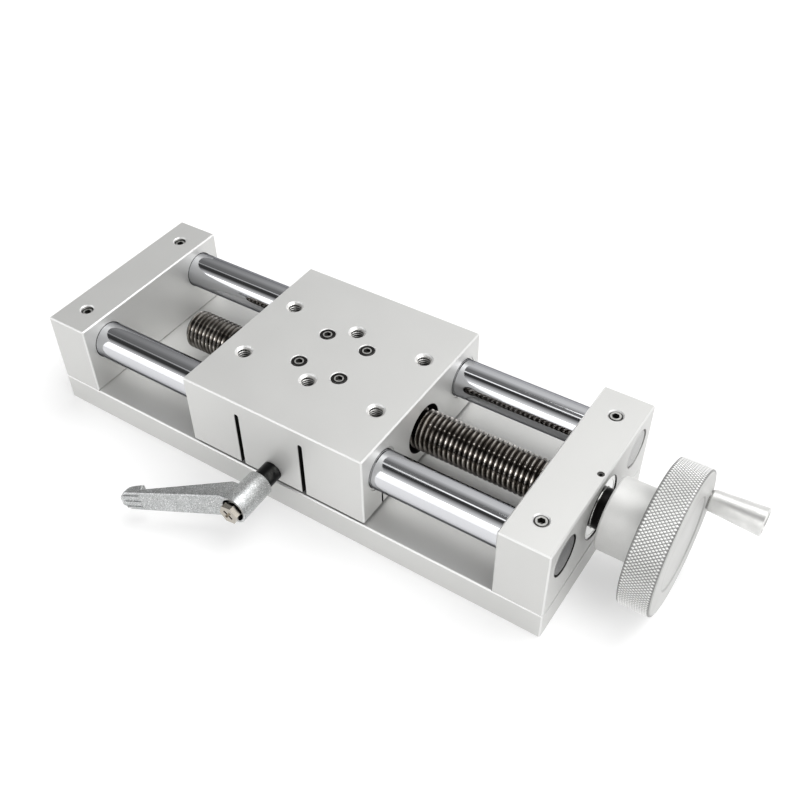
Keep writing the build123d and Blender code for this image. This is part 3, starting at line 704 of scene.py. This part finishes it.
# Painted shade in the knurl's pits: the lowest points are dark, the raised tops keep the full
# colour.
knurl_satin = turned_satin(
    "knurl_satin",
    tone(246, 246, 244),
    0.36,
    lambda x, radius: radius.ramp(wheel_rim + 0.00004, wheel_rim + 0.00018),
)
dress(plain_metal("collar_black", tone(34, 33, 33), 0.30), "spacer_collar")
knurl = grown(
    "rim_knurl",
    knurl_group(),
    radius=wheel_rim + 0.00001,
    inside=wheel_rim - 0.0006,
    height=0.00035,
    width=knurl_width,
    starts=133,
    rows=13,
    place=(knurl_start, 0.0, screw_height),
    turn=(0.0, pi / 2, 0.0),
    finish=knurl_satin,
)
settled(knurl, "screw", "turned_aluminium")


# Crank handle: a polished aluminium grip that spins on a steel shoulder screw in the
# wheel's face.

crank_across, crank_height = centre("crank_axle")[1:]


def polished_grip(name, colour):
    finish = Finish(name)
    place = finish.place()
    x, y, z = finish.parts(place)
    radius = finish.distance(y - crank_across, z - crank_height)
    rings = finish.noise(finish.vector(radius, x, 0.0), 3200.0, 2.0)
    touched = finish.noise(place, 210.0, 4.0)
    return finish.surface(
        base_color=finish.mixed(touched.ramp(0.35, 0.75), colour, shaded(colour, 0.86)),
        metallic=0.85,
        roughness=0.34 + touched.ramp(0.4, 0.7) * 0.10,
        normal=finish.relief(rings, 0.000004),
    )


dress(polished_grip("polished_grip", tone(230, 230, 228)), "crank_grip")
dress(plain_metal("axle_steel", tone(170, 170, 168), 0.22), "crank_axle")


# Carriage: a milled aluminium block, blasted and anodised, with six M6 holes through its
# top for the work. Their threads are cut below the countersunk mouths.

carriage_middle = centre("carriage_block")[0]
carriage_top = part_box("carriage_block")[1][2]
table_hole_pitch = 0.030
table_hole_side = 0.016
table_hole_radius = 0.003
nut_screw_side = 0.0091
nut_seat_radius = 0.003
tunnel_radius = 0.010
clamp_place, clamp_height = centre("lever_screw")[0::2]
slot_side = 0.0144
slot_half = 0.001
slot_top = 0.0390


def over_nut(x, y):
    return abs(x - carriage_middle) - nut_screw_side, abs(y) - nut_screw_side


def over_table_holes(x, y):
    along = (x - carriage_middle + 1.5 * table_hole_pitch) % table_hole_pitch
    return along - table_hole_pitch / 2, abs(y) - table_hole_side


def carriage_dark_places(finish, x, y, z):
    """Painted shade in the sawn slots, the slit, the tunnel, the tapped holes and the screws'
    seats, and on the face that looks down on the base.
    """
    slots = abs(abs(x - clamp_place) - slot_side) < slot_half + past_wall
    slots = slots * (y > -0.0397) * (y < 0.0001 - rod_side) * (z < slot_top)
    slit = (abs(y + rod_side) < 0.0011) * (z < rod_height) * (abs(x - carriage_middle) < 0.0399)
    tunnel = finish.distance(y, z - screw_height) < tunnel_radius + past_wall
    tapped = finish.distance(*over_table_holes(x, y)) < table_hole_radius + past_wall
    seats = finish.distance(*over_nut(x, y)) < nut_seat_radius + past_wall
    down = finish.parts(finish.node("ShaderNodeNewGeometry", output="True Normal"))[2] < -0.9
    dark = slots.at_least(slit).at_least(tunnel).at_least(down)
    dark = dark.at_least(seats * (z < carriage_top - 0.0003))
    return dark.at_least(tapped * (z < carriage_top - bright_mouth))


carriage_aluminium = satin_aluminium(
    "carriage_aluminium", tone(216, 216, 214), 0.46, carriage_dark_places
)
dress(carriage_aluminium, "carriage_block")
nut_screw_black = black_oxide(
    "nut_screw_black",
    tone(44, 43, 42),
    0.24,
    face=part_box("nut_screws")[1][2],
    ring=0.0018,
    middle=over_nut,
)
dress(nut_screw_black, "nut_screws")


def cut_thread(name, middle, bright_radius, dark_height, bright_height, lip_height=1.0):
    """A tapped thread: bright at its crests and lip, dark in its roots, with painted shade that
    darkens it deep down the hole.
    """
    finish = Finish(name)
    place = finish.place()
    x, y, z = finish.parts(place)
    crest_and_painted_shade = finish.distance(*middle(x, y)).ramp(bright_radius, bright_radius + 0.00008, 1.0, 0.0)
    # Painted shade: the colour darkens with depth down the hole.
    crest_and_painted_shade = crest_and_painted_shade * z.ramp(dark_height, bright_height, 0.15, 0.80)
    crest_and_painted_shade = crest_and_painted_shade.at_least(z > lip_height)
    grain = finish.noise(place, 2400.0)
    return finish.surface(
        base_color=finish.mixed(crest_and_painted_shade, tone(48, 47, 46), tone(236, 235, 232)),
        metallic=0.8,
        roughness=0.30 + grain * 0.06,
        normal=finish.relief(grain, 0.000004),
    )


lip_middle = 0.0438
thread_bottom = 0.0350
carriage_threads = grown(
    "carriage_hole_threads",
    thread,
    turns=8.6,
    lip=True,
    lip_height=lip_middle - thread_bottom,
    columns=3,
    rows=2,
    column_spacing=table_hole_pitch,
    row_spacing=2 * table_hole_side,
    place=(carriage_middle, 0.0, thread_bottom),
    finish=cut_thread(
        "table_hole_thread",
        over_table_holes,
        bright_radius=0.00272,
        dark_height=0.0400,
        bright_height=0.0432,
        lip_height=lip_middle + 0.00002,
    ),
)
settled(carriage_threads, "carriage", "anodised_aluminium")


# Tapped holes of the plates: four M6 holes under the base, and the M5 holes over the left
# ends of the rods, where the set screws sit deep enough for the thread to show above them.

bed_hole_along = 0.075
bed_hole_side = 0.025


def over_bed_holes(x, y):
    return abs(x) - bed_hole_along, abs(y) - bed_hole_side


base_threads = grown(
    "base_hole_threads",
    thread,
    turns=8.0,
    columns=2,
    rows=2,
    column_spacing=2 * bed_hole_along,
    row_spacing=2 * bed_hole_side,
    place=(0.0, 0.0, 0.0006),
    finish=cut_thread(
        "base_hole_thread",
        over_bed_holes,
        bright_radius=0.00264,
        dark_height=0.0060,
        bright_height=0.0010,
    ),
)
settled(base_threads, "base", "anodised_aluminium")
sunk_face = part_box("left_rod_grub_screws")[1][2]
block_thread_pitch = 0.0008
block_threads = grown(
    "block_hole_threads",
    thread,
    inner_radius=0.0021,
    height=0.0004,
    inner_width=0.00016,
    outer_width=0.00072,
    pitch=block_thread_pitch,
    turns=(block_top - bright_mouth - sunk_face) / block_thread_pitch,
    rows=2,
    row_spacing=2 * rod_side,
    place=(-block_middle, 0.0, sunk_face + 0.00005),
    finish=cut_thread(
        "block_hole_thread",
        over_rods,
        bright_radius=0.00226,
        dark_height=sunk_face,
        bright_height=block_top,
    ),
)
settled(block_threads, "base", "anodised_aluminium")


# Bushings and lead nut: the bushings' plated steel ends lie almost flush around the rods,
# with a line of oil where they run on them. The nut is turned from bronze.

def plated_bushing(name, colour):
    finish = Finish(name)
    place = finish.place()
    x, y, z = finish.parts(place)
    radius = finish.distance(abs(y) - rod_side, z - rod_height)
    faced = finish.noise(finish.vector(radius, x, 0.0), 2200.0, 2.0)
    patch = finish.noise(place, 300.0, 3.0)
    body = finish.mixed(patch.ramp(0.3, 0.7), colour, shaded(colour, 0.85))
    oil = radius.ramp(rod_radius + 0.00012, rod_radius + 0.00028, 1.0, 0.0)
    return finish.surface(
        base_color=finish.mixed(oil, body, tone(40, 39, 38)),
        metallic=0.6,
        roughness=0.36 + patch * 0.08,
        normal=finish.relief(faced, 0.000004),
    )


bushing_steel = plated_bushing("bushing_steel", tone(214, 214, 212))
dress(bushing_steel, "front_rod_bushings", "back_rod_bushings")
dress(plain_metal("oiled_bronze", tone(150, 118, 72), 0.30), "lead_nut")


# Clamp: a black stud with a short spline, a die-cast lever in speckled silver paint, and
# the nickel-plated screw and the spring that let the lever be lifted and turned.

lever_recess_radius = 0.0047


def cast_silver(name, colour):
    """Powder paint over a casting: an uneven skin with fine bright and dark specks."""
    finish = Finish(name)
    place = finish.place()
    speck = finish.noise(place, 2300.0, 2.0)
    skin = finish.noise(place, 1150.0, 3.0)
    glint = finish.noise(place, 3400.0, 1.0)
    mottle = finish.noise(place, 420.0, 3.0)
    worn = finish.noise(place, 130.0, 3.0)
    body = finish.mixed(speck.ramp(0.36, 0.62), shaded(colour, 0.58), shaded(colour, 1.15))
    body = finish.mixed(mottle.ramp(0.35, 0.65, 0.0, 0.40), body, shaded(colour, 0.50))
    body = finish.mixed(worn.ramp(0.40, 0.60, 0.0, 0.20), body, shaded(colour, 0.50))
    body = finish.mixed(glint.ramp(0.60, 0.70), body, tone(252, 252, 252))
    x, y, z = finish.parts(place)
    # Painted shade: the recess around the lever screw is painted near black.
    recess = finish.distance(x - clamp_place, z - clamp_height) < lever_recess_radius + 0.00002
    return finish.surface(
        base_color=finish.mixed(recess, body, tone(24, 24, 25)),
        metallic=0.85,
        roughness=0.30 + skin * 0.16,
        normal=finish.relief(skin * 0.7 + mottle * 0.3, 0.00007),
    )


dress(cast_silver("cast_silver", tone(200, 202, 202)), "clamp_lever")
dress(black_oxide("stud_black", tone(26, 26, 27), 0.30), "clamp_stud")
dress(plain_metal("screw_nickel", tone(184, 178, 168), 0.14), "lever_screw")
dress(plain_metal("spring_steel", tone(150, 148, 144), 0.24), "lever_spring")


# Studio: white paper under a large soft lamp at the right and one overhead. Pale walls low
# down, a dark ceiling and a bright strip in it make the bands that the chromed rods show.

floor_mesh = bpy.data.meshes.new("paper_floor")
reach = 3.0
under = -0.0001
corners = [(-reach, -reach), (reach, -reach), (reach, reach), (-reach, reach)]
floor_mesh.from_pydata([(x, y, under) for x, y in corners], [], [(0, 1, 2, 3)])
floor = bpy.data.objects.new("paper_floor", floor_mesh)
bpy.context.collection.objects.link(floor)
paper = Finish("paper")
rays = paper.node("ShaderNodeLightPath", output="Is Camera Ray")
shown = (rays + rays.leaving("Is Glossy Ray") + rays.leaving("Is Transmission Ray")).at_most(1.0)
place = paper.place()
x, y, z = paper.parts(place)
far = paper.distance(x, y).ramp(0.6, 1.4)
fibres = paper.noise(place, 900.0, 3.0)
floor_mesh.materials.append(paper.surface(
    base_color=paper.mixed(fibres, (0.65, 0.65, 0.65, 1.0), (0.67, 0.67, 0.67, 1.0)),
    roughness=0.9,
    emission_color=(1.0, 1.0, 1.0, 1.0),
    emission_strength=shown * (0.41 + far * 0.59),
))

world = bpy.data.worlds.new("studio")
world.use_nodes = True
bpy.context.scene.world = world
walls = Tree(world.node_tree)
x, y, z = walls.parts(walls.node("ShaderNodeTexCoord", output="Generated"))
climb = abs(z.maths("ARCTAN2", z, 0 - y) * (180 / pi))
side = x.ramp(-0.62, -0.30)
ahead = (climb - side * 8.0).ramp(24.0, 58.0, 1.20, 0.0) * x.ramp(-0.2, 0.7, 1.0, 0.50)
window = (4.5 - abs(climb - 31.0)).ramp(0.0, 1.5, 0.0, 1.7) + climb.ramp(24.0, 27.0, 0.35, 0.0)
window = window * x.ramp(-0.2, 0.1, 1.0, 0.0) * (climb < 90)
behind = climb.ramp(104.0, 132.0, 0.0, 0.62) * side.ramp(0.0, 1.0, 0.20, 1.0)
overhead = climb.ramp(74.0, 94.0, 0.05, 0.20)
strip = (4.0 - abs(climb - 83.0)).ramp(0.0, 3.0) * side.ramp(0.0, 1.0, 0.3, 1.8)
rays = walls.node("ShaderNodeLightPath", output="Is Camera Ray")
strength = (ahead + window + behind + overhead + strip) * (1 - rays) + rays
white = (1.0, 1.0, 1.0, 1.0)
light = walls.node("ShaderNodeBackground", {}, {"Color": white, "Strength": strength})
walls.node("ShaderNodeOutputWorld", {}, {"Surface": light})


def softbox(name, direction, distance, size, power):
    """A square lamp that looks at the carriage from the given direction."""
    data = bpy.data.lights.new(name, "AREA")
    data.size = size
    data.energy = power
    lamp = bpy.data.objects.new(name, data)
    aim = Vector(direction).normalized()
    turned_to = aim.to_track_quat("Z", "Y").to_matrix().to_4x4()
    lamp.matrix_world = Matrix.Translation(aim * distance) @ turned_to
    bpy.context.collection.objects.link(lamp)


softbox("side_softbox", (0.75, -0.05, 0.66), 2.6, 3.0, 36.0)
softbox("top_softbox", (0.20, 0.34, 0.92), 2.6, 1.8, 31.0)

lens = bpy.data.cameras.new("photo_camera")
lens.lens = 45.4856
lens.shift_x = 0.0627
lens.shift_y = 0.0103
camera = bpy.data.objects.new("photo_camera", lens)
camera_right = (0.81987938, 0.57091537, -0.04305163)
camera_up = (-0.37078331, 0.58675909, 0.71988436)
camera_back = (0.43625398, -0.57425552, 0.69275758)
camera_place = (0.17795, -0.22496, 0.29201)
turn = Matrix((camera_right, camera_up, camera_back)).transposed().to_4x4()
camera.matrix_world = Matrix.Translation(camera_place) @ turn
bpy.context.collection.objects.link(camera)
bpy.context.scene.camera = camera
bpy.context.scene.view_settings.view_transform = "Standard"
